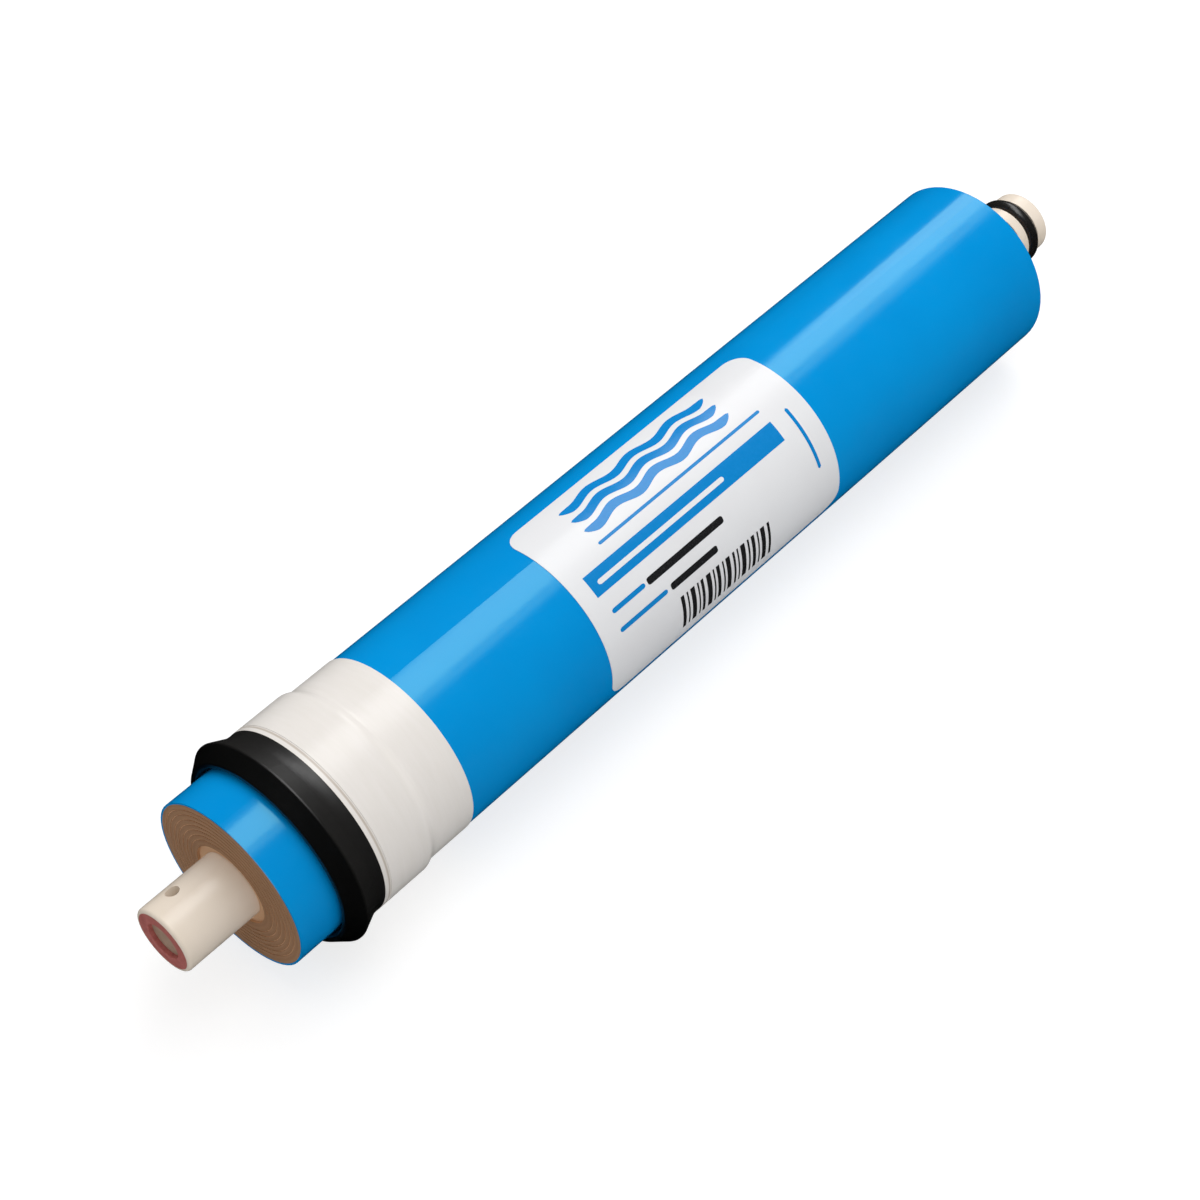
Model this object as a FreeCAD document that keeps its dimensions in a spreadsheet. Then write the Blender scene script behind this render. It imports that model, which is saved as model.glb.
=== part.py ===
import FreeCAD, Part
import Sketcher
import math
import os

# A small spiral-wound reverse osmosis element. Lengths are millimetres and angles are degrees.
# The water tube's axis is the X axis, and the spigot with the O-rings points towards +X. Each body is
# drawn with X = 0 at the closed end of the tube, and its Placement brings the middle of the element's
# length to the origin. Angles round the axis start at +Y and grow towards +Z.

SIZES = (
    # the overall build, along the axis
    ("near_stub_length", 18.9, "closed stub of the tube, in front of the roll"),
    ("roll_length", 255.3, "wound roll, from face to face"),
    ("far_stub_length", 23.8, "spigot of the tube, behind the roll"),
    # water tube
    ("tube_diameter", 16.4, "outside of the water tube"),
    ("tube_bore", 9.0, "inside of the water tube"),
    ("tube_end_round", 0.8, "rounding of both outer rims of the tube"),
    ("mouth_chamfer", 0.5, "chamfer of the bore at the open end"),
    ("perforation_diameter", 2.4, "drillings that let the filtered water into the tube"),
    ("perforation_margin", 14.0, "from each face of the roll to its first drilling"),
    ("perforation_pitch", 25.0, "from drilling to drilling along one row"),
    # closed end
    ("end_ring_diameter", 14.6, "outside of the red ring let into the closed end"),
    ("end_ring_thickness", 2.0, "depth of the red ring in the tube's end"),
    ("end_ring_round", 0.2, "rounding of the ring's inner front edge"),
    ("recess_depth", 1.1, "from the end of the tube down to the plug"),
    ("plug_length", 22.0, "resin plug in the bore"),
    ("cross_hole_diameter", 3.3, "drilling across the closed stub"),
    ("cross_hole_station", 6.9, "from the closed end to the cross hole"),
    ("cross_hole_tilt", -25.0, "lean of the cross hole from the vertical"),
    # O-rings on the spigot
    ("o_ring_section", 3.53, "thickness of an O-ring"),
    ("o_ring_proud", 1.0, "height of an O-ring above the tube"),
    ("o_ring_squeeze", 0.15, "flat that the stretched ring has on its groove"),
    ("o_ring_groove_width", 4.0, "width of an O-ring groove"),
    ("o_ring_spacing", 6.8, "from O-ring to O-ring"),
    ("o_ring_setback", 6.0, "from the open end to the first O-ring"),
    # wound roll
    ("roll_diameter", 42.0, "wound leaves, without the wraps"),
    ("core_gap_width", 2.0, "open ring between the tube and the first turn"),
    ("core_gap_depth", 0.6, "depth of that ring"),
    ("turn_pitch", 1.3, "from one groove between turns to the next"),
    ("turn_groove_width", 0.2, "width of the groove between turns"),
    ("turn_groove_depth", 0.15, "depth of the groove between turns"),
    ("last_turn_margin", 0.6, "least land between the spiral and the wrap"),
    # wraps
    ("inner_wrap_thickness", 0.5, "blue film over the whole roll"),
    ("outer_wrap_thickness", 1.75, "blue shell over the main length"),
    ("outer_wrap_setback", 16.0, "from the near face of the roll to the shell"),
    ("outer_wrap_round", 0.3, "rounding of the shell's far rim"),
    # brine seal, set back from the near face of the roll
    ("seal_setback", 10.4, "from the near face of the roll to the seal's front"),
    ("seal_lip_height", 4.85, "height of the lip's crest above the film"),
    ("seal_front_height", 2.1, "height of the seal's front edge above the film"),
    ("seal_lip_gap", 1.0, "open height under the front edge"),
    ("seal_pocket_depth", 3.0, "depth of the open pocket under the lip"),
    ("seal_lip_setback", 3.6, "from the seal's front to its lip"),
    ("seal_lip_land", 0.4, "length of the lip's flat crest"),
    ("seal_neck_height", 1.0, "height of the neck above the shell"),
    ("seal_neck_setback", 8.7, "from the seal's front to its neck"),
    ("seal_tail_setback", 11.0, "from the seal's front to its taped tail"),
    ("seal_tail_height", 0.85, "thickness of the tail on the shell"),
    ("seal_tail_length", 13.6, "length of the tail under the tape"),
    ("seal_lip_round", 0.3, "rounding of the lip's crest"),
    ("seal_front_round", 0.5, "rounding of the front's outer corner"),
    ("seal_edge_round", 0.35, "rounding of the front's inner corner"),
    ("seal_neck_round", 5.5, "hollow where the lip leaves the neck"),
    # white tape over the seal's tail
    ("tape_thickness", 0.2, "wound tape"),
    ("tape_rim_width", 1.2, "narrow course beside the seal"),
    ("tape_seam_width", 0.65, "seam between the first two courses"),
    ("tape_seam_depth", 0.12, "depth of that seam"),
    ("tape_shoulder_length", 2.1, "slope from the tail down to the shell"),
    ("tape_shoulder_round", 2.5, "rounding at both ends of the slope"),
    ("tape_skirt_length", 11.7, "tape that lies on the shell"),
    # label
    ("label_setback", 93.7, "from the near face of the roll to the label"),
    ("label_length", 80.4, "along the element"),
    ("label_width", 53.6, "round the element"),
    ("label_thickness", 0.12, "printed film"),
    ("label_corner", 5.0, "corner radius"),
    ("label_angle", 130.0, "middle of the label, round the axis"),
)

MODEL_NAME = "water_element"
SHEET_NAME = "Sizes"
FULL_TURN = 360.0
HALF_TURN = 180.0
QUARTER_TURN = 90.0
TINY = 1e-4
LABEL_BLANK = 2.0
START_INDEX = 1
END_INDEX = 2
CENTRE_INDEX = 3
AXIS_INDEX = -1


class Size:
    """A length that carries its value and the sheet expression that gives it."""

    def __init__(self, value, text):
        self.value = value
        self.text = text

    def __add__(self, other):
        other = as_size(other)
        return Size(self.value + other.value, f"({self.text} + {other.text})")

    def __sub__(self, other):
        other = as_size(other)
        return Size(self.value - other.value, f"({self.text} - {other.text})")

    def __mul__(self, other):
        other = as_size(other)
        return Size(self.value * other.value, f"({self.text} * {other.text})")

    def __truediv__(self, other):
        other = as_size(other)
        return Size(self.value / other.value, f"({self.text} / {other.text})")


def as_size(number):
    if isinstance(number, Size):
        return number
    return Size(float(number), repr(float(number)))


def write_sheet(doc):
    """Put every driving size in the sheet and return them by name."""
    sheet = doc.addObject("Spreadsheet::Sheet", SHEET_NAME)
    sizes = {}
    for row, (alias, value, meaning) in enumerate(SIZES, start=1):
        sheet.set(f"A{row}", alias)
        sheet.set(f"B{row}", str(value))
        sheet.setAlias(f"B{row}", alias)
        sheet.set(f"C{row}", meaning)
        sizes[alias] = Size(value, f"{SHEET_NAME}.{alias}")
    doc.recompute()
    return sizes


def new_body(doc, label):
    body = doc.addObject("PartDesign::Body", label)
    body.Label = label
    return body


def origin_plane(body, role):
    return next(item for item in body.Origin.OriginFeatures if item.Role == role)


def new_sketch(body, name, role):
    sketch = body.newObject("Sketcher::SketchObject", name)
    sketch.AttachmentSupport = [(origin_plane(body, role), "")]
    sketch.MapMode = "FlatFace"
    return sketch


def bind(sketch, name, constraint, size):
    """Add a dimension to a sketch and tie it to the sheet."""
    index = sketch.addConstraint(constraint)
    sketch.renameConstraint(index, name)
    sketch.setExpression(f"Constraints.{name}", size.text)


def pin_point(sketch, name, edge, end, across, up):
    """Fix one point of a sketch by its two distances from the sketch's origin."""
    bind(sketch, f"{name}_across", Sketcher.Constraint("DistanceX", edge, end, across.value), across)
    bind(sketch, f"{name}_up", Sketcher.Constraint("DistanceY", edge, end, up.value), up)


def draw_outline(sketch, corners):
    """Draw a closed outline of straight lines through corners given as (name, station, radius)."""
    points = [FreeCAD.Vector(station.value, radius.value, 0.0) for _, station, radius in corners]
    count = len(points)
    lines = [sketch.addGeometry(Part.LineSegment(points[i], points[(i + 1) % count])) for i in range(count)]
    for i, line in enumerate(lines):
        following = lines[(i + 1) % count]
        sketch.addConstraint(Sketcher.Constraint("Coincident", line, END_INDEX, following, START_INDEX))
        name, station, radius = corners[i]
        pin_point(sketch, name, line, START_INDEX, station, radius)


def turn_outline(body, name, corners):
    """Draw an outline and turn it right round the tube's axis."""
    sketch = new_sketch(body, f"{name}_outline", "XZ_Plane")
    draw_outline(sketch, corners)
    turn_sketch(body, name, sketch)


def turn_sketch(body, name, sketch, angle=None):
    """Turn a sketch about the tube's axis, right round or through an angle."""
    body.Document.recompute()
    turned = body.newObject("PartDesign::Revolution", f"{name}_turned")
    turned.Profile = sketch
    turned.ReferenceAxis = (sketch, ["H_Axis"])
    turned.Angle = FULL_TURN
    if angle is not None:
        turned.setExpression("Angle", angle.text)
    sketch.Visibility = False
    body.Document.recompute()
    return turned


def ring_edges(feature, station, radius):
    """Names of the feature's circular edges of one radius about the axis at one station."""
    names = []
    for number, edge in enumerate(feature.Shape.Edges, start=1):
        curve = edge.Curve
        if not isinstance(curve, Part.Circle) or abs(curve.Radius - radius.value) > TINY:
            continue
        if (curve.Center - FreeCAD.Vector(station.value, 0, 0)).Length < TINY:
            names.append(f"Edge{number}")
    if not names:
        raise ValueError(f"{feature.Name}: no edge at station {station.value} and radius {radius.value}")
    return names


def dress_edges(body, kind, name, places, size):
    """Fillet or chamfer the circular edges at the given (station, radius) places."""
    base = body.Tip
    names = []
    for station, radius in places:
        names += ring_edges(base, station, radius)
    feature = body.newObject(f"PartDesign::{kind}", name)
    feature.Base = (base, names)
    prop = "Radius" if kind == "Fillet" else "Size"
    setattr(feature, prop, size.value)
    feature.setExpression(prop, size.text)
    base.Visibility = False
    body.Document.recompute()
    return feature


def round_edges(body, name, places, radius):
    return dress_edges(body, "Fillet", name, places, radius)


def cut_pocket(body, name, sketch, depth=None, reverse=False):
    """Cut a sketch into the body, right through on both sides or to a depth, and prove that it cut."""
    body.Document.recompute()
    before = body.Tip.Shape.Volume
    pocket = body.newObject("PartDesign::Pocket", name)
    pocket.Profile = sketch
    if depth is None:
        pocket.Type = "ThroughAll"
        pocket.Midplane = True
    else:
        pocket.Type = "Length"
        pocket.Length = depth.value
        pocket.setExpression("Length", depth.text)
        pocket.Reversed = reverse
    sketch.Visibility = False
    body.Document.recompute()
    if pocket.Shape.Volume > before - TINY:
        raise ValueError(f"{name} cuts nothing")
    return pocket


def draw_circle(sketch, name, station, radius):
    """Draw a circle centred on the sketch's level axis."""
    centre = FreeCAD.Vector(station.value, 0, 0)
    circle = sketch.addGeometry(Part.Circle(centre, FreeCAD.Vector(0, 0, 1), radius.value))
    sketch.addConstraint(Sketcher.Constraint("PointOnObject", circle, CENTRE_INDEX, AXIS_INDEX))
    place = Sketcher.Constraint("DistanceX", circle, CENTRE_INDEX, station.value)
    bind(sketch, f"{name}_station", place, station)
    bind(sketch, f"{name}_radius", Sketcher.Constraint("Radius", circle, radius.value), radius)


def drill_across(body, name, role, station, diameter, tilt=None):
    """Drill across the tube's axis, through both walls."""
    sketch = new_sketch(body, f"{name}_circle", role)
    if tilt is not None:
        turn = FreeCAD.Rotation(FreeCAD.Vector(1, 0, 0), tilt.value)
        sketch.AttachmentOffset = FreeCAD.Placement(FreeCAD.Vector(), turn)
        sketch.setExpression("AttachmentOffset.Rotation.Angle", tilt.text)
    draw_circle(sketch, name, station, diameter / 2)
    return cut_pocket(body, name, sketch)


def stations(z):
    """Places along the axis that several pieces share."""
    near_face = z["near_stub_length"]
    far_face = near_face + z["roll_length"]
    open_end = far_face + z["far_stub_length"]
    first_ring = open_end - z["o_ring_setback"]
    seal_front = near_face + z["seal_setback"]
    tail_front = seal_front + z["seal_tail_setback"]
    return {
        "closed_end": as_size(0.0),
        "near_face": near_face,
        "far_face": far_face,
        "open_end": open_end,
        "first_ring": first_ring,
        "second_ring": first_ring - z["o_ring_spacing"],
        "shell_front": near_face + z["outer_wrap_setback"],
        "seal_front": seal_front,
        "tail_front": tail_front,
        "tail_end": tail_front + z["seal_tail_length"],
    }


def radii(z):
    """Radii that several pieces share."""
    roll = z["roll_diameter"] / 2
    film = roll + z["inner_wrap_thickness"]
    shell = film + z["outer_wrap_thickness"]
    tube = z["tube_diameter"] / 2
    return {
        "bore": z["tube_bore"] / 2,
        "tube": tube,
        "end_ring": z["end_ring_diameter"] / 2,
        "groove": tube + z["o_ring_proud"] + z["o_ring_squeeze"] - z["o_ring_section"],
        "roll": roll,
        "film": film,
        "shell": shell,
        "tail": shell + z["seal_tail_height"],
    }


def band_corners(front, back, inside, outside):
    return [
        ("front_inside", front, inside),
        ("front_outside", front, outside),
        ("back_outside", back, outside),
        ("back_inside", back, inside),
    ]


def groove_corners(z, name, middle, tube, root):
    half = z["o_ring_groove_width"] / 2
    return [
        (f"{name}_near_top", middle - half, tube),
        (f"{name}_near_root", middle - half, root),
        (f"{name}_far_root", middle + half, root),
        (f"{name}_far_top", middle + half, tube),
    ]


def make_permeate_tube(doc, z, at, r):
    """Moulded water tube: ring seat at the closed end, two grooves on the spigot, rows of drillings."""
    body = new_body(doc, "permeate_tube")
    seat = z["end_ring_thickness"]
    corners = [
        ("seat_front", at["closed_end"], r["end_ring"]),
        ("closed_rim", at["closed_end"], r["tube"]),
        *groove_corners(z, "second_groove", at["second_ring"], r["tube"], r["groove"]),
        *groove_corners(z, "first_groove", at["first_ring"], r["tube"], r["groove"]),
        ("open_rim", at["open_end"], r["tube"]),
        ("open_mouth", at["open_end"], r["bore"]),
        ("seat_step", seat, r["bore"]),
        ("seat_floor", seat, r["end_ring"]),
    ]
    turn_outline(body, "wall", corners)
    rims = [(at["closed_end"], r["tube"]), (at["open_end"], r["tube"])]
    round_edges(body, "rim_rounds", rims, z["tube_end_round"])
    dress_edges(body, "Chamfer", "mouth_bevel", [(at["open_end"], r["bore"])], z["mouth_chamfer"])
    drill_across(body, "cross_hole", "XY_Plane", z["cross_hole_station"], z["cross_hole_diameter"],
                 z["cross_hole_tilt"])
    first = at["near_face"] + z["perforation_margin"]
    upright = drill_across(body, "upright_perforation", "XY_Plane", first, z["perforation_diameter"])
    sideways = drill_across(body, "sideways_perforation", "XZ_Plane", first + z["perforation_pitch"] / 2,
                            z["perforation_diameter"])
    add_perforation_rows(body, z, [upright, sideways])
    return body


def add_perforation_rows(body, z, drillings):
    """Repeat the two crossed drillings along the roll, at one pitch, as often as they fit."""
    pitch = z["perforation_pitch"]
    free = z["roll_length"] - z["perforation_margin"] * 2 - pitch / 2
    before = body.Tip.Shape.Volume
    rows = body.newObject("PartDesign::LinearPattern", "perforation_rows")
    rows.Originals = drillings
    rows.Direction = (origin_plane(body, "X_Axis"), [""])
    rows.Mode = "Spacing"
    rows.setExpression("Occurrences", f"floor({free.text} / {pitch.text}) + 1")
    rows.setExpression("Offset", pitch.text)
    body.Tip = rows
    body.Document.recompute()
    if rows.Shape.Volume >= before:
        raise ValueError("the rows of drillings cut nothing")


def make_end_ring(doc, z, at, r):
    """Red ring let into the tube's closed end."""
    body = new_body(doc, "tube_end_ring")
    front = at["closed_end"]
    turn_outline(body, "ring", band_corners(front, z["end_ring_thickness"], r["bore"], r["end_ring"]))
    round_edges(body, "front_round", [(front, r["bore"])], z["end_ring_round"])
    return body


def make_bore_plug(doc, z, at, r):
    """Resin plug that closes the bore behind the red ring. The cross hole is drilled through it."""
    body = new_body(doc, "bore_plug")
    front = z["recess_depth"]
    back = front + z["plug_length"]
    corners = [
        ("front_middle", front, as_size(0.0)),
        ("front_rim", front, r["bore"]),
        ("back_rim", back, r["bore"]),
        ("back_middle", back, as_size(0.0)),
    ]
    turn_outline(body, "plug", corners)
    drill_across(body, "cross_hole", "XY_Plane", z["cross_hole_station"], z["cross_hole_diameter"],
                 z["cross_hole_tilt"])
    return body


def make_o_ring(doc, z, name, station, groove):
    """Rubber ring, flattened a little where it sits on the root of its groove."""
    body = new_body(doc, name)
    sketch = new_sketch(body, "section", "XZ_Plane")
    section = z["o_ring_section"] / 2
    middle = groove + section - z["o_ring_squeeze"]
    dip = math.asin((middle.value - groove.value) / section.value)
    centre = FreeCAD.Vector(station.value, middle.value, 0)
    circle = Part.Circle(centre, FreeCAD.Vector(0, 0, 1), section.value)
    arc = Part.ArcOfCircle(circle, -dip, math.pi + dip)
    flat = Part.LineSegment(arc.EndPoint, arc.StartPoint)
    arc = sketch.addGeometry(arc)
    flat = sketch.addGeometry(flat)
    sketch.addConstraint(Sketcher.Constraint("Coincident", arc, END_INDEX, flat, START_INDEX))
    sketch.addConstraint(Sketcher.Constraint("Coincident", flat, END_INDEX, arc, START_INDEX))
    sketch.addConstraint(Sketcher.Constraint("Horizontal", flat))
    bind(sketch, "section_radius", Sketcher.Constraint("Radius", arc, section.value), section)
    pin_point(sketch, "section", arc, CENTRE_INDEX, station, middle)
    bind(sketch, "seat_up", Sketcher.Constraint("DistanceY", flat, START_INDEX, groove.value), groove)
    turn_sketch(body, "ring", sketch)
    return body


def draw_spiral_wall(sketch, name, start, z, half_turns):
    """Draw one wall of the spiral groove as half circles about two centres in turn."""
    shift = z["turn_pitch"] / 4
    arcs = []
    for turn in range(half_turns):
        above = turn % 2 == 0
        across = shift if above else as_size(0.0) - shift
        radius = start + z["turn_pitch"] * turn / 2
        circle = Part.Circle(FreeCAD.Vector(across.value, 0, 0), FreeCAD.Vector(0, 0, 1), radius.value)
        first = 0.0 if above else math.pi
        arc = sketch.addGeometry(Part.ArcOfCircle(circle, first, first + math.pi))
        sketch.addConstraint(Sketcher.Constraint("PointOnObject", arc, CENTRE_INDEX, AXIS_INDEX))
        sketch.addConstraint(Sketcher.Constraint("PointOnObject", arc, START_INDEX, AXIS_INDEX))
        place = Sketcher.Constraint("DistanceX", arc, CENTRE_INDEX, across.value)
        bind(sketch, f"{name}_centre_{turn}", place, across)
        if arcs:
            sketch.addConstraint(Sketcher.Constraint("Coincident", arcs[-1], START_INDEX, arc, END_INDEX))
        else:
            sketch.addConstraint(Sketcher.Constraint("PointOnObject", arc, END_INDEX, AXIS_INDEX))
            bind(sketch, f"{name}_start", Sketcher.Constraint("Radius", arc, radius.value), radius)
        arcs.append(arc)
    return arcs


def close_walls(sketch, inner, outer, end):
    """Join one end of the inner wall to the same end of the outer wall."""
    ends = [sketch.getPoint(wall, end) for wall in (inner, outer)]
    cap = sketch.addGeometry(Part.LineSegment(*ends))
    sketch.addConstraint(Sketcher.Constraint("Coincident", cap, START_INDEX, inner, end))
    sketch.addConstraint(Sketcher.Constraint("Coincident", cap, END_INDEX, outer, end))


def cut_spiral_groove(body, name, z, r, face, reverse):
    """Cut the groove that the wound turns leave on one face of the roll."""
    sketch = new_sketch(body, f"{name}_slot", "YZ_Plane")
    sketch.AttachmentOffset = FreeCAD.Placement(FreeCAD.Vector(0, 0, face.value), FreeCAD.Rotation())
    sketch.setExpression("AttachmentOffset.Base.z", face.text)
    start = r["tube"] + z["core_gap_width"] + z["turn_pitch"]
    room = r["roll"] - z["last_turn_margin"] - z["turn_groove_width"] - start
    half_turns = int(2 * room.value / z["turn_pitch"].value)
    inner = draw_spiral_wall(sketch, "inner", start, z, half_turns)
    outer = draw_spiral_wall(sketch, "outer", start + z["turn_groove_width"], z, half_turns)
    close_walls(sketch, inner[0], outer[0], END_INDEX)
    close_walls(sketch, inner[-1], outer[-1], START_INDEX)
    return cut_pocket(body, name, sketch, z["turn_groove_depth"], reverse)


def make_membrane_roll(doc, z, at, r):
    """Wound leaves as one solid, with the spiral of the turns on both faces."""
    body = new_body(doc, "membrane_roll")
    gap = r["tube"] + z["core_gap_width"]
    depth = z["core_gap_depth"]
    corners = [
        ("near_gap_floor", at["near_face"] + depth, r["tube"]),
        ("near_gap_corner", at["near_face"] + depth, gap),
        ("near_gap_top", at["near_face"], gap),
        ("near_rim", at["near_face"], r["roll"]),
        ("far_rim", at["far_face"], r["roll"]),
        ("far_gap_top", at["far_face"], gap),
        ("far_gap_corner", at["far_face"] - depth, gap),
        ("far_gap_floor", at["far_face"] - depth, r["tube"]),
    ]
    turn_outline(body, "roll", corners)
    cut_spiral_groove(body, "near_spiral", z, r, at["near_face"], True)
    cut_spiral_groove(body, "far_spiral", z, r, at["far_face"], False)
    return body


def make_sleeve(doc, name, front, back, inside, outside):
    """Plain tube between two stations."""
    body = new_body(doc, name)
    turn_outline(body, "sleeve", band_corners(front, back, inside, outside))
    return body


def make_outer_wrap(doc, z, at, r):
    """Blue shell from under the seal to the far rim."""
    body = make_sleeve(doc, "outer_wrap", at["shell_front"], at["far_face"], r["film"], r["shell"])
    round_edges(body, "rim_round", [(at["far_face"], r["shell"])], z["outer_wrap_round"])
    return body


def make_brine_seal(doc, z, at, r):
    """Lip seal: open pocket under the front edge, flared lip, hollow neck and a thin taped tail."""
    body = new_body(doc, "brine_seal")
    front = at["seal_front"]
    lip = r["film"] + z["seal_lip_height"]
    edge = r["film"] + z["seal_lip_gap"]
    corner = r["film"] + z["seal_front_height"]
    lip_front = front + z["seal_lip_setback"]
    lip_back = lip_front + z["seal_lip_land"]
    neck = r["shell"] + z["seal_neck_height"]
    corners = [
        ("pocket_root", front + z["seal_pocket_depth"], r["film"]),
        ("front_edge", front, edge),
        ("front_corner", front, corner),
        ("lip_front", lip_front, lip),
        ("lip_back", lip_back, lip),
        ("neck_front", front + z["seal_neck_setback"], neck),
        ("neck_back", at["tail_front"], neck),
        ("tail_front", at["tail_front"], r["tail"]),
        ("tail_end", at["tail_end"], r["tail"]),
        ("tail_foot", at["tail_end"], r["shell"]),
        ("shell_top", at["shell_front"], r["shell"]),
        ("shell_foot", at["shell_front"], r["film"]),
    ]
    turn_outline(body, "seal", corners)
    round_edges(body, "crest_rounds", [(lip_front, lip), (lip_back, lip)], z["seal_lip_round"])
    round_edges(body, "front_round", [(front, corner)], z["seal_front_round"])
    round_edges(body, "edge_round", [(front, edge)], z["seal_edge_round"])
    round_edges(body, "neck_hollow", [(front + z["seal_neck_setback"], neck)], z["seal_neck_round"])
    return body


def make_seal_tape(doc, z, at, r):
    """White tape: a narrow course, a seam, a raised course on the seal's tail and a skirt on the shell."""
    body = new_body(doc, "seal_tape")
    thickness = z["tape_thickness"]
    raised = r["tail"] + thickness
    flush = r["shell"] + thickness
    front = at["tail_front"]
    seam = front + z["tape_rim_width"]
    seam_end = seam + z["tape_seam_width"]
    slope_end = at["tail_end"] + z["tape_shoulder_length"]
    skirt_end = slope_end + z["tape_skirt_length"]
    corners = [
        ("front_foot", front, r["tail"]),
        ("front_rim", front, raised),
        ("seam_front_top", seam, raised),
        ("seam_front_floor", seam, raised - z["tape_seam_depth"]),
        ("seam_back_floor", seam_end, raised - z["tape_seam_depth"]),
        ("seam_back_top", seam_end, raised),
        ("slope_top", at["tail_end"], raised),
        ("slope_bottom", slope_end, flush),
        ("skirt_rim", skirt_end, flush),
        ("skirt_foot", skirt_end, r["shell"]),
        ("slope_foot", slope_end, r["shell"]),
        ("tail_corner", at["tail_end"], r["tail"]),
    ]
    turn_outline(body, "tape", corners)
    slope_ends = [(at["tail_end"], raised), (slope_end, flush)]
    round_edges(body, "shoulder_rounds", slope_ends, z["tape_shoulder_round"])
    return body


def corner_edges(feature, length):
    """Names of the short straight edges of a curved sheet, one at each of its corners."""
    names = []
    for number, edge in enumerate(feature.Shape.Edges, start=1):
        if isinstance(edge.Curve, Part.Line) and abs(edge.Length - length.value) < TINY:
            names.append(f"Edge{number}")
    return names


def groove_outline(body, name, corners):
    """Turn an outline right round the axis to cut it away, and prove that it cut."""
    sketch = new_sketch(body, f"{name}_outline", "XZ_Plane")
    draw_outline(sketch, corners)
    before = body.Tip.Shape.Volume
    groove = body.newObject("PartDesign::Groove", f"{name}_groove")
    groove.Profile = sketch
    groove.ReferenceAxis = (sketch, ["H_Axis"])
    groove.Angle = FULL_TURN
    sketch.Visibility = False
    body.Document.recompute()
    if groove.Shape.Volume >= before:
        raise ValueError(f"{name} cuts nothing")


def make_label(doc, z, at, r):
    """Printed film round the shell: a thick curved blank gets its round corners, then is thinned."""
    body = new_body(doc, "label")
    front = at["near_face"] + z["label_setback"]
    back = front + z["label_length"]
    top = r["shell"] + z["label_thickness"]
    blank_inside = r["shell"] - LABEL_BLANK
    blank_outside = top + LABEL_BLANK
    sketch = new_sketch(body, "blank_outline", "XZ_Plane")
    span = z["label_width"] / top * HALF_TURN / math.pi
    lean = z["label_angle"] - span / 2 - QUARTER_TURN
    turn = FreeCAD.Rotation(FreeCAD.Vector(1, 0, 0), lean.value)
    sketch.AttachmentOffset = FreeCAD.Placement(FreeCAD.Vector(), turn)
    sketch.setExpression("AttachmentOffset.Rotation.Angle", lean.text)
    draw_outline(sketch, band_corners(front, back, blank_inside, blank_outside))
    blank = turn_sketch(body, "blank", sketch, span)
    rounds = body.newObject("PartDesign::Fillet", "corner_rounds")
    rounds.Base = (blank, corner_edges(blank, blank_outside - blank_inside))
    rounds.Radius = z["label_corner"].value
    rounds.setExpression("Radius", z["label_corner"].text)
    body.Document.recompute()
    before = front - LABEL_BLANK
    after = back + LABEL_BLANK
    groove_outline(body, "under", band_corners(before, after, blank_inside - LABEL_BLANK, r["shell"]))
    groove_outline(body, "over", band_corners(before, after, top, blank_outside + LABEL_BLANK))
    return body


def centre_on_length(bodies, at):
    """Move every body so that the origin lies midway between the two ends of the tube."""
    half_length = at["open_end"] / 2
    for body in bodies:
        body.Placement = FreeCAD.Placement(FreeCAD.Vector(-half_length.value, 0, 0), FreeCAD.Rotation())
        body.setExpression("Placement.Base.x", f"-{half_length.text}")


def check_document(doc, bodies):
    """Stop if any object failed or any piece is not one valid solid."""
    for item in doc.Objects:
        if "Invalid" in item.State or "Error" in item.State:
            raise ValueError(f"{item.Name} did not build: {item.State}")
    for body in bodies:
        shape = body.Shape
        if shape.isNull() or not shape.isValid() or len(shape.Solids) != 1:
            raise ValueError(f"{body.Label} is not one valid solid")


def main():
    doc = FreeCAD.newDocument(MODEL_NAME)
    z = write_sheet(doc)
    at = stations(z)
    r = radii(z)
    bodies = [
        make_permeate_tube(doc, z, at, r),
        make_end_ring(doc, z, at, r),
        make_bore_plug(doc, z, at, r),
        make_membrane_roll(doc, z, at, r),
        make_sleeve(doc, "inner_wrap", at["near_face"], at["far_face"], r["roll"], r["film"]),
        make_outer_wrap(doc, z, at, r),
        make_brine_seal(doc, z, at, r),
        make_seal_tape(doc, z, at, r),
        make_label(doc, z, at, r),
        make_o_ring(doc, z, "o_ring_inner", at["second_ring"], r["groove"]),
        make_o_ring(doc, z, "o_ring_outer", at["first_ring"], r["groove"]),
    ]
    centre_on_length(bodies, at)
    doc.recompute()
    check_document(doc, bodies)
    os.makedirs("parts", exist_ok=True)
    for body in bodies:
        body.Shape.exportStep(os.path.join("parts", f"{body.Label}.step"))
        print(f"{body.Label}: {body.Shape.Volume:.1f} mm3")


main()
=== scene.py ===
import math

import bmesh
import bpy
from mathutils import Matrix, Vector


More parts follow.
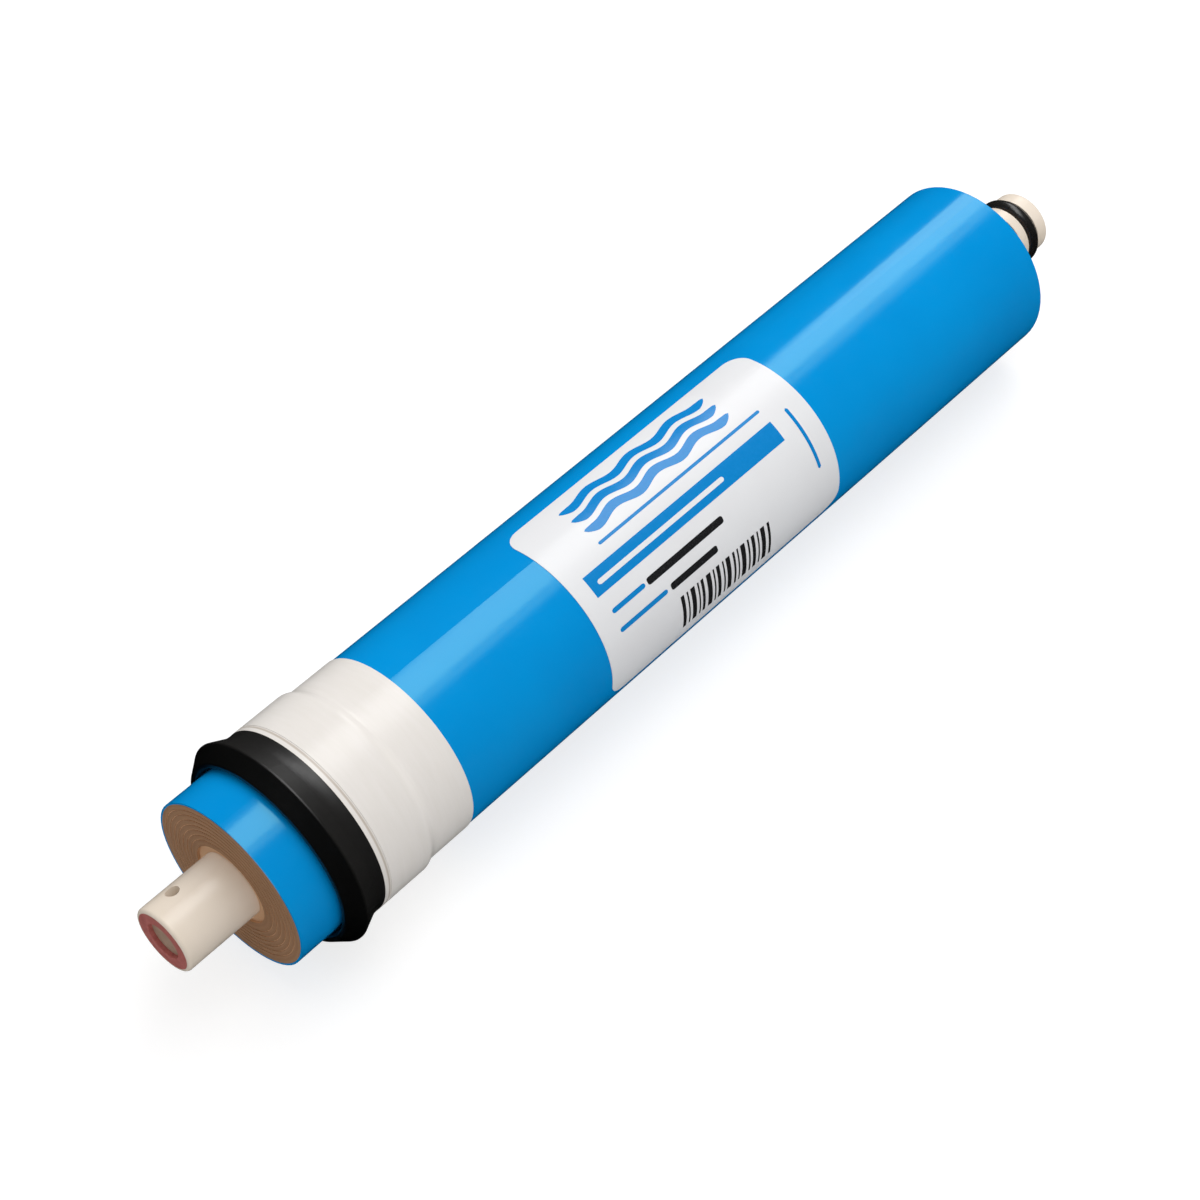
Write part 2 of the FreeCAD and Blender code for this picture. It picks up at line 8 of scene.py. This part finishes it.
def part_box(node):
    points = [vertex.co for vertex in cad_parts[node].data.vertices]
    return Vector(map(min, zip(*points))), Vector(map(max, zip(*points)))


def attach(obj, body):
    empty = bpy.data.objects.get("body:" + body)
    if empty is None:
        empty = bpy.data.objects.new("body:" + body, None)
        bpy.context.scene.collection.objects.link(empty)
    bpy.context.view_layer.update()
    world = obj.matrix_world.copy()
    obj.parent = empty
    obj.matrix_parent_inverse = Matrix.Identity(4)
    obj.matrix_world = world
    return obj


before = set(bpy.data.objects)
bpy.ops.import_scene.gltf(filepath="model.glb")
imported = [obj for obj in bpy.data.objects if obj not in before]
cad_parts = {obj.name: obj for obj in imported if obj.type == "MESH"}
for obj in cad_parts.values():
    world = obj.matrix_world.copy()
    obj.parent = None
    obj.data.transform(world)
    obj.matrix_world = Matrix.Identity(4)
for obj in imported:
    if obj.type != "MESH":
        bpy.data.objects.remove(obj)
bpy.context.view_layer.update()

MM = 0.001


def srgb(red, green, blue):
    """Linear colour of an sRGB colour given as 0 to 255."""
    parts = []
    for value in (red, green, blue):
        value = value / 255
        parts.append(value / 12.92 if value <= 0.04045 else ((value + 0.055) / 1.055) ** 2.4)
    return (*parts, 1.0)


# ---------------------------------------------------------------- places read from the frame

film_low, film_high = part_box("inner_wrap")
shell_low, shell_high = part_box("outer_wrap")
roll_low, roll_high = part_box("membrane_roll")
seal_low, seal_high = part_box("brine_seal")
tape_low, tape_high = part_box("seal_tape")
label_low, label_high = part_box("label")

SHELL_RADIUS = shell_high.z
SEAL_CREST = seal_low.x + 3.8 * MM
LABEL_RADIUS = label_high.z
LABEL_FIRST = math.acos(label_high.y / LABEL_RADIUS)
LABEL_LAST = math.pi - math.asin(label_low.z / LABEL_RADIUS)
LABEL_LENGTH = label_high.x - label_low.x
LABEL_WIDTH = (LABEL_LAST - LABEL_FIRST) * LABEL_RADIUS


# ---------------------------------------------------------------- materials

class Nodes:
    """A material's node tree with short calls for the nodes that the finishes share."""

    def __init__(self, name):
        self.material = bpy.data.materials.new(name)
        self.material.use_nodes = True
        self.tree = self.material.node_tree
        self.tree.nodes.clear()
        self.output = self.tree.nodes.new("ShaderNodeOutputMaterial")
        self.shader = self.tree.nodes.new("ShaderNodeBsdfPrincipled")
        self.link(self.shader.outputs[0], self.output.inputs[0])
        self.place = self.tree.nodes.new("ShaderNodeTexCoord").outputs["Object"]
        self.apart = None

    def link(self, out, into):
        self.tree.links.new(out, into)

    def set(self, **values):
        for name, value in values.items():
            self.shader.inputs[name.replace("_", " ")].default_value = value

    def math(self, operation, first, second=None):
        node = self.tree.nodes.new("ShaderNodeMath")
        node.operation = operation
        for socket, value in zip(node.inputs, (first, second)):
            if value is None:
                continue
            if isinstance(value, (int, float)):
                socket.default_value = value
            else:
                self.link(value, socket)
        return node.outputs[0]

    def axes(self):
        if self.apart is None:
            self.apart = self.tree.nodes.new("ShaderNodeSeparateXYZ")
            self.link(self.place, self.apart.inputs[0])
        return self.apart.outputs

    def stretch(self, scale):
        node = self.tree.nodes.new("ShaderNodeMapping")
        node.inputs["Scale"].default_value = scale
        self.link(self.place, node.inputs["Vector"])
        return node.outputs[0]

    def noise(self, size, detail=3.0, roughness=0.5, vector=None):
        """Noise with features of about the given size in metres."""
        node = self.tree.nodes.new("ShaderNodeTexNoise")
        node.inputs["Scale"].default_value = 1 / size
        node.inputs["Detail"].default_value = detail
        node.inputs["Roughness"].default_value = roughness
        self.link(vector or self.place, node.inputs["Vector"])
        return node.outputs["Fac"]

    def ramp(self, factor, stops):
        node = self.tree.nodes.new("ShaderNodeValToRGB")
        elements = node.color_ramp.elements
        while len(elements) < len(stops):
            elements.new(0.5)
        for element, (position, colour) in zip(elements, stops):
            element.position = position
            element.color = colour
        self.link(factor, node.inputs[0])
        return node.outputs[0]

    def spread(self, factor, low, high, new_low, new_high):
        node = self.tree.nodes.new("ShaderNodeMapRange")
        for name, value in (("From Min", low), ("From Max", high), ("To Min", new_low), ("To Max", new_high)):
            node.inputs[name].default_value = value
        self.link(factor, node.inputs["Value"])
        return node.outputs[0]

    def mix(self, factor, first, second, blend="MIX"):
        node = self.tree.nodes.new("ShaderNodeMix")
        node.data_type = "RGBA"
        node.blend_type = blend
        node.clamp_factor = True
        for socket, value in ((node.inputs[0], factor), (node.inputs[6], first), (node.inputs[7], second)):
            if hasattr(value, "is_linked"):
                self.link(value, socket)
            else:
                socket.default_value = value
        return node.outputs[2]

    def bump(self, height, distance, strength=1.0, normal=None):
        node = self.tree.nodes.new("ShaderNodeBump")
        node.inputs["Distance"].default_value = distance
        node.inputs["Strength"].default_value = strength
        self.link(height, node.inputs["Height"])
        if normal is not None:
            self.link(normal, node.inputs["Normal"])
        return node.outputs[0]


def paint(names, material):
    for name in names:
        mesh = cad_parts[name].data
        mesh.materials.clear()
        mesh.materials.append(material)


def blue_film():
    """Glossy blue film: even colour, a slow ripple from the winding and faint handling marks."""
    n = Nodes("blue_film")
    tone = n.noise(0.03, 2.0)
    n.link(n.ramp(tone, [(0.35, srgb(0, 146, 220)), (0.65, srgb(0, 151, 225))]), n.shader.inputs["Base Color"])
    marks = n.noise(0.004, 4.0, 0.6)
    n.link(n.spread(marks, 0.3, 0.7, 0.12, 0.16), n.shader.inputs["Roughness"])
    ripple = n.noise(0.02, 1.0, 0.4, n.stretch((0.25, 1.0, 1.0)))
    n.link(n.bump(ripple, 0.00004), n.shader.inputs["Normal"])
    n.set(IOR=1.45, Specular_IOR_Level=1.0, Specular_Tint=(0.48, 1.0, 0.75, 1.0))
    return n.material


def cream_plastic():
    """Moulded plastic with a slight marbling and a satin skin."""
    n = Nodes("cream_plastic")
    cloud = n.noise(0.012, 3.0)
    n.link(n.ramp(cloud, [(0.35, srgb(238, 224, 206)), (0.65, srgb(242, 229, 213))]), n.shader.inputs["Base Color"])
    skin = n.noise(0.0012, 4.0, 0.6)
    n.link(n.spread(skin, 0.3, 0.7, 0.16, 0.22), n.shader.inputs["Roughness"])
    n.link(n.bump(skin, 0.000002), n.shader.inputs["Normal"])
    n.set(IOR=1.49)
    return n.material


def red_ring():
    n = Nodes("red_ring")
    cloud = n.noise(0.0016, 4.0, 0.65)
    n.link(n.ramp(cloud, [(0.3, srgb(176, 92, 86)), (0.55, srgb(192, 106, 99)), (0.75, srgb(200, 120, 112))]),
           n.shader.inputs["Base Color"])
    n.link(n.spread(cloud, 0.3, 0.7, 0.45, 0.6), n.shader.inputs["Roughness"])
    n.link(n.bump(cloud, 0.00006), n.shader.inputs["Normal"])
    return n.material


def tan_resin():
    n = Nodes("tan_resin")
    cloud = n.noise(0.0014, 4.0, 0.6)
    n.link(n.ramp(cloud, [(0.3, srgb(166, 138, 116)), (0.7, srgb(184, 156, 134))]), n.shader.inputs["Base Color"])
    n.link(n.spread(cloud, 0.3, 0.7, 0.5, 0.7), n.shader.inputs["Roughness"])
    n.link(n.bump(cloud, 0.0001), n.shader.inputs["Normal"])
    return n.material


def wound_edges():
    """Cut edges of wound sheets: fine turns that follow one spiral, uneven in tone."""
    n = Nodes("wound_edges")
    axes = n.axes()
    radius = n.math("SQRT", n.math("ADD", n.math("MULTIPLY", axes["Y"], axes["Y"]),
                                   n.math("MULTIPLY", axes["Z"], axes["Z"])))
    angle = n.math("DIVIDE", n.math("ARCTAN2", axes["Z"], axes["Y"]), 2 * math.pi)
    wander = n.math("MULTIPLY", n.math("SUBTRACT", n.noise(0.009, 2.0), 0.5), 0.9)
    turns = n.math("ADD", n.math("SUBTRACT", n.math("DIVIDE", radius, 0.26 * MM), angle), wander)
    wave = n.math("ADD", n.math("MULTIPLY", n.math("SINE", n.math("MULTIPLY", turns, 2 * math.pi)), 0.5), 0.5)
    broad = n.math("ADD", n.math("SUBTRACT", n.math("DIVIDE", radius, 1.3 * MM), angle), wander)
    band = n.math("ADD", n.math("MULTIPLY", n.math("SINE", n.math("MULTIPLY", broad, 2 * math.pi)), 0.5), 0.5)
    fibre = n.noise(0.0006, 4.0, 0.7)
    level = n.math("ADD", n.math("MULTIPLY", wave, 0.35), n.math("MULTIPLY", band, 0.25))
    level = n.math("ADD", level, n.math("MULTIPLY", fibre, 0.4))
    colour = n.ramp(level, [(0.15, srgb(146, 108, 78)), (0.5, srgb(158, 119, 87)), (0.85, srgb(170, 131, 99))])
    # Paler colour in the grooves, from 0.02 mm into the face and full at 0.12 mm: painted light that offsets the
    # shade in the grooves.
    depth = n.math("MINIMUM", n.math("SUBTRACT", axes["X"], roll_low.x), n.math("SUBTRACT", roll_high.x, axes["X"]))
    groove_painted_light = n.spread(depth, 0.02 * MM, 0.12 * MM, 0.0, 1.0)
    n.link(n.mix(groove_painted_light, colour, srgb(214, 172, 134)), n.shader.inputs["Base Color"])
    n.link(n.spread(fibre, 0.3, 0.7, 0.7, 0.9), n.shader.inputs["Roughness"])
    n.link(n.bump(level, 0.00004), n.shader.inputs["Normal"])
    n.set(Specular_IOR_Level=0.25)
    return n.material


def black_rubber(name, low, high, grain):
    n = Nodes(name)
    dust = n.noise(grain, 5.0, 0.65)
    smear = n.noise(0.012, 2.0, 0.5)
    # One black rubber painted in two tones split at the lip crest: the darker front is painted shade, and the lighter
    # grey behind the crest is a painted sheen.
    shaded_front_tone = n.ramp(smear, [(0.3, srgb(9, 9, 8)), (0.7, srgb(13, 12, 11))])
    sheen_behind_crest = n.ramp(smear, [(0.3, srgb(26, 25, 24)), (0.7, srgb(32, 31, 30))])
    behind = n.spread(n.axes()["X"], SEAL_CREST - 0.4 * MM, SEAL_CREST + 0.4 * MM, 0.0, 1.0)
    n.link(n.mix(behind, shaded_front_tone, sheen_behind_crest), n.shader.inputs["Base Color"])
    n.link(n.spread(dust, 0.3, 0.7, low, high), n.shader.inputs["Roughness"])
    n.link(n.bump(dust, 0.00001), n.shader.inputs["Normal"])
    n.set(Specular_IOR_Level=0.9)
    return n.material


def white_tape():
    """Wound tape: warm white film with faint drawn lines round the element and a tan seam behind its rim."""
    n = Nodes("white_tape")
    away = n.math("ABSOLUTE", n.math("SUBTRACT", n.axes()["X"], tape_low.x + 1.3 * MM))
    seam = n.spread(away, 0.15 * MM, 0.4 * MM, 0.75, 0.0)
    drawn = n.noise(0.0035, 3.0, 0.55, n.stretch((3.0, 0.35, 0.35)))
    plain = n.ramp(drawn, [(0.3, srgb(237, 232, 226)), (0.7, srgb(240, 235, 230))])
    n.link(n.mix(seam, plain, srgb(188, 176, 162)), n.shader.inputs["Base Color"])
    skin = n.noise(0.002, 4.0, 0.6)
    n.link(n.spread(skin, 0.3, 0.7, 0.2, 0.26), n.shader.inputs["Roughness"])
    n.link(n.bump(drawn, 0.000004), n.shader.inputs["Normal"])
    return n.material


def label_film():
    n = Nodes("label_film")
    cloud = n.noise(0.02, 3.0)
    n.link(n.ramp(cloud, [(0.3, srgb(234, 234, 236)), (0.7, srgb(237, 238, 240))]), n.shader.inputs["Base Color"])
    skin = n.noise(0.0015, 4.0, 0.6)
    n.link(n.spread(skin, 0.3, 0.7, 0.18, 0.24), n.shader.inputs["Roughness"])
    n.link(n.bump(cloud, 0.00001), n.shader.inputs["Normal"])
    n.set(Specular_IOR_Level=0.4)
    return n.material


def ink(name, light, dark, roughness):
    """Printed ink: two close tones, so that a field isn't dead flat."""
    n = Nodes(name)
    spots = n.noise(0.0008, 4.0, 0.7)
    n.link(n.ramp(spots, [(0.3, dark), (0.7, light)]), n.shader.inputs["Base Color"])
    n.link(n.spread(spots, 0.3, 0.7, roughness - 0.05, roughness + 0.05), n.shader.inputs["Roughness"])
    return n.material


film = blue_film()
rubber = black_rubber("seal_rubber", 0.38, 0.46, 0.0012)
ring_rubber = black_rubber("ring_rubber", 0.22, 0.34, 0.0008)
paint(["inner_wrap", "outer_wrap"], film)
paint(["permeate_tube"], cream_plastic())
paint(["tube_end_ring"], red_ring())
paint(["bore_plug"], tan_resin())
paint(["membrane_roll"], wound_edges())
paint(["brine_seal"], rubber)
paint(["o_ring_inner", "o_ring_outer"], ring_rubber)
paint(["seal_tape"], white_tape())
paint(["label"], label_film())


# ---------------------------------------------------------------- print on the label

PRINT_LIFT = 0.015 * MM
PRINT_STEP = 0.6 * MM


def label_point(along, down, lift=PRINT_LIFT):
    """Point on the label from its near edge and from its upper edge, both in metres."""
    angle = LABEL_FIRST + down / LABEL_RADIUS
    radius = LABEL_RADIUS + lift
    return Vector((label_low.x + along, radius * math.cos(angle), radius * math.sin(angle)))


def add_ribbon(mesh, rows, lift=PRINT_LIFT):
    """Skin a strip whose rows are lists of (along, down) points."""
    grid = [[mesh.verts.new(label_point(*point, lift)) for point in row] for row in rows]
    for before, after in zip(grid, grid[1:]):
        for i in range(len(before) - 1):
            mesh.faces.new((before[i], before[i + 1], after[i + 1], after[i]))


def spaced(first, last, step=PRINT_STEP):
    count = max(1, math.ceil((last - first) / step))
    return [first + (last - first) * i / count for i in range(count + 1)]


def add_field(mesh, along, down, length, width, corner=0.0, lift=PRINT_LIFT):
    """Rectangle with optional round corners, split finely round the element."""
    rows = []
    for offset in spaced(0.0, width, min(PRINT_STEP, max(corner / 3, width / 40))):
        inset = 0.0
        edge = min(offset, width - offset)
        if edge < corner:
            inset = corner - math.sqrt(max(0.0, corner ** 2 - (corner - edge) ** 2))
        rows.append([(along + inset, down + offset), (along + length - inset, down + offset)])
    add_ribbon(mesh, rows, lift)


def add_wave(mesh, along, down, length, width, height, swing, taper):
    """Wavy band that thins out at both ends."""
    rows = []
    for place in spaced(0.0, length):
        share = place / length
        middle = down + height * math.sin(2 * math.pi * swing * share)
        half = width / 2 * min(1.0, share / taper, (1 - share) / taper) ** 0.5
        half = max(half, 0.02 * MM)
        rows.append([(along + place, middle - half), (along + place, middle), (along + place, middle + half)])
    add_ribbon(mesh, rows)


def finish_print(name, mesh, material):
    data = bpy.data.meshes.new(name)
    bmesh.ops.recalc_face_normals(mesh, faces=mesh.faces[:])
    for face in mesh.faces:
        outward = Vector((0, face.calc_center_median().y, face.calc_center_median().z))
        if face.normal.dot(outward) < 0:
            face.normal_flip()
        face.smooth = True
    mesh.to_mesh(data)
    mesh.free()
    data.materials.append(material)
    piece = bpy.data.objects.new(name, data)
    bpy.context.scene.collection.objects.link(piece)
    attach(piece, "root")
    return piece


print_blue = bmesh.new()
for down in (5.1, 9.0, 12.9):
    add_wave(print_blue, 13.7 * MM, down * MM, 49.3 * MM, 2.4 * MM, 0.75 * MM, 3.5, 0.06)
add_field(print_blue, 13.7 * MM, 16.9 * MM, 55.3 * MM, 0.8 * MM, 0.4 * MM)
add_field(print_blue, 4.6 * MM, 20.9 * MM, 64.5 * MM, 5.5 * MM)
add_field(print_blue, 5.8 * MM, 30.4 * MM, 10.8 * MM, 1.2 * MM, 0.6 * MM)
add_field(print_blue, 5.5 * MM, 35.3 * MM, 15.8 * MM, 1.2 * MM, 0.6 * MM)
add_field(print_blue, 74.1 * MM, 20.7 * MM, 1.0 * MM, 17.1 * MM, 0.5 * MM)
finish_print("label_blue_print", print_blue, ink("blue_ink", srgb(2, 138, 212), srgb(0, 131, 205), 0.22))

print_white = bmesh.new()
add_field(print_white, 6.9 * MM, 23.3 * MM, 42.5 * MM, 1.2 * MM, 0.6 * MM, 2 * PRINT_LIFT)
finish_print("label_white_print", print_white, ink("white_ink", srgb(240, 241, 243), srgb(232, 234, 237), 0.22))

print_dark = bmesh.new()
add_field(print_dark, 17.4 * MM, 30.1 * MM, 25.8 * MM, 1.8 * MM, 0.6 * MM)
add_field(print_dark, 22.5 * MM, 35.0 * MM, 15.9 * MM, 1.8 * MM, 0.6 * MM)
STRIPES = ((0.0, 1.1), (2.0, 0.5), (3.3, 1.4), (5.6, 0.5), (6.8, 0.9), (8.7, 1.5), (11.0, 0.5), (12.2, 1.1),
           (14.3, 0.5), (15.5, 1.4), (17.9, 0.7), (19.4, 0.5), (20.7, 1.5), (23.1, 0.6), (24.5, 1.1),
           (26.5, 0.5), (27.8, 1.4), (30.2, 0.8))
for offset, width in STRIPES:
    add_field(print_dark, (24.0 + offset) * MM, 39.8 * MM, width * MM, 10.0 * MM)
finish_print("label_dark_print", print_dark, ink("dark_ink", srgb(38, 38, 40), srgb(28, 28, 30), 0.25))


# ---------------------------------------------------------------- floor, light and camera

def stage_floor():
    """Pale floor under the two rims that the element lies on, so it leans a little along X."""
    near = Vector((SEAL_CREST, 0, seal_low.z))
    far = Vector((shell_high.x, 0, shell_low.z))
    slope = (far.z - near.z) / (far.x - near.x)
    reach = 6.0
    data = bpy.data.meshes.new("floor")
    corners = []
    for x, y in ((-reach, -reach), (reach, -reach), (reach, reach), (-reach, reach)):
        corners.append((x, y, near.z + slope * (x - near.x) - 0.05 * MM))
    data.from_pydata(corners, [], [(0, 1, 2, 3)])
    floor = bpy.data.objects.new("floor", data)
    bpy.context.scene.collection.objects.link(floor)
    n = Nodes("floor_paint")
    n.set(Roughness=1.0, Specular_IOR_Level=0.0, Emission_Color=(1.0, 1.0, 1.0, 1.0))
    seen = n.tree.nodes.new("ShaderNodeLightPath").outputs["Is Camera Ray"]
    n.link(n.ramp(seen, [(0.0, (0.8, 0.8, 0.8, 1.0)), (1.0, (0.35, 0.35, 0.35, 1.0))]), n.shader.inputs["Base Color"])
    n.link(n.math("MULTIPLY", seen, 0.75), n.shader.inputs["Emission Strength"])
    data.materials.append(n.material)
    floor.visible_glossy = False
    return floor


def world_light(strength):
    world = bpy.data.worlds.new("studio")
    bpy.context.scene.world = world
    world.use_nodes = True
    tree = world.node_tree
    rays = tree.nodes.new("ShaderNodeLightPath")
    back = tree.nodes["Background"]
    back.inputs["Color"].default_value = (1.0, 1.0, 1.0, 1.0)
    level = tree.nodes.new("ShaderNodeMapRange")
    level.inputs["To Min"].default_value = strength
    level.inputs["To Max"].default_value = 1.0
    tree.links.new(rays.outputs["Is Camera Ray"], level.inputs["Value"])
    tree.links.new(level.outputs[0], back.inputs["Strength"])
    world.cycles_visibility.glossy = False
    return world


def soft_box(name, first, last, radiance, glossy=True):
    """Strip of the long overhead lamp between two distances across its plane, measured from its axis."""
    turn = math.radians(LAMP_ANGLE)
    slant = math.radians(LAMP_SLANT)
    outward = Vector((0, math.cos(turn), math.sin(turn)))
    lengthwise = Vector((math.cos(slant), -math.sin(turn) * math.sin(slant), math.cos(turn) * math.sin(slant)))
    across = outward.cross(lengthwise)
    data = bpy.data.lights.new(name, "AREA")
    data.shape = "RECTANGLE"
    data.size = LAMP_LENGTH
    data.size_y = last - first
    data.energy = radiance * math.pi * LAMP_LENGTH * (last - first)
    lamp = bpy.data.objects.new(name, data)
    bpy.context.scene.collection.objects.link(lamp)
    lamp.matrix_world = Matrix((
        (*lengthwise, 0.0), (*across, 0.0), (*outward, 0.0), (0.0, 0.0, 0.0, 1.0))).transposed()
    lamp.location = outward * LAMP_DISTANCE + lengthwise * 0.2 + across * (first + last) / 2 + Vector((0.42, 0, 0))
    lamp.visible_glossy = glossy
    return lamp


stage_floor()
world_light(0.56)
LAMP_ANGLE = 80.0
LAMP_SLANT = -32.0
LAMP_DISTANCE = 0.9
LAMP_LENGTH = 1.9
LAMP_RADIANCE = 2.45
soft_box("top_box", -0.15, 0.25, LAMP_RADIANCE)
soft_box("top_fill", -0.45, 0.25, 1.0, glossy=False)
FADE = ((-0.20, 0.9), (-0.26, 0.7), (-0.32, 0.45), (-0.39, 0.2), (-0.45, 0.06))
edge = -0.15
for step, (end, share) in enumerate(FADE):
    soft_box(f"top_fade_{step}", end, edge, LAMP_RADIANCE * share)
    edge = end

AZIMUTH = math.radians(-47.916)
ELEVATION = math.radians(49.883)
AIM = Vector((-14.77, 0.05, -9.21)) * MM
DISTANCE = 604.7 * MM
LENS = 77.81

back = Vector((math.sin(AZIMUTH) * math.cos(ELEVATION), -math.cos(AZIMUTH) * math.cos(ELEVATION),
               math.sin(ELEVATION)))
camera_data = bpy.data.cameras.new("camera")
camera_data.sensor_width = 36.0
camera_data.lens = LENS
camera_data.clip_start = 0.01
camera_data.clip_end = 100.0
camera = bpy.data.objects.new("camera", camera_data)
camera.location = AIM + back * DISTANCE
camera.rotation_euler = (math.pi / 2 - ELEVATION, 0.0, AZIMUTH)
bpy.context.scene.collection.objects.link(camera)
bpy.context.scene.camera = camera
bpy.context.scene.view_settings.view_transform = "Standard"
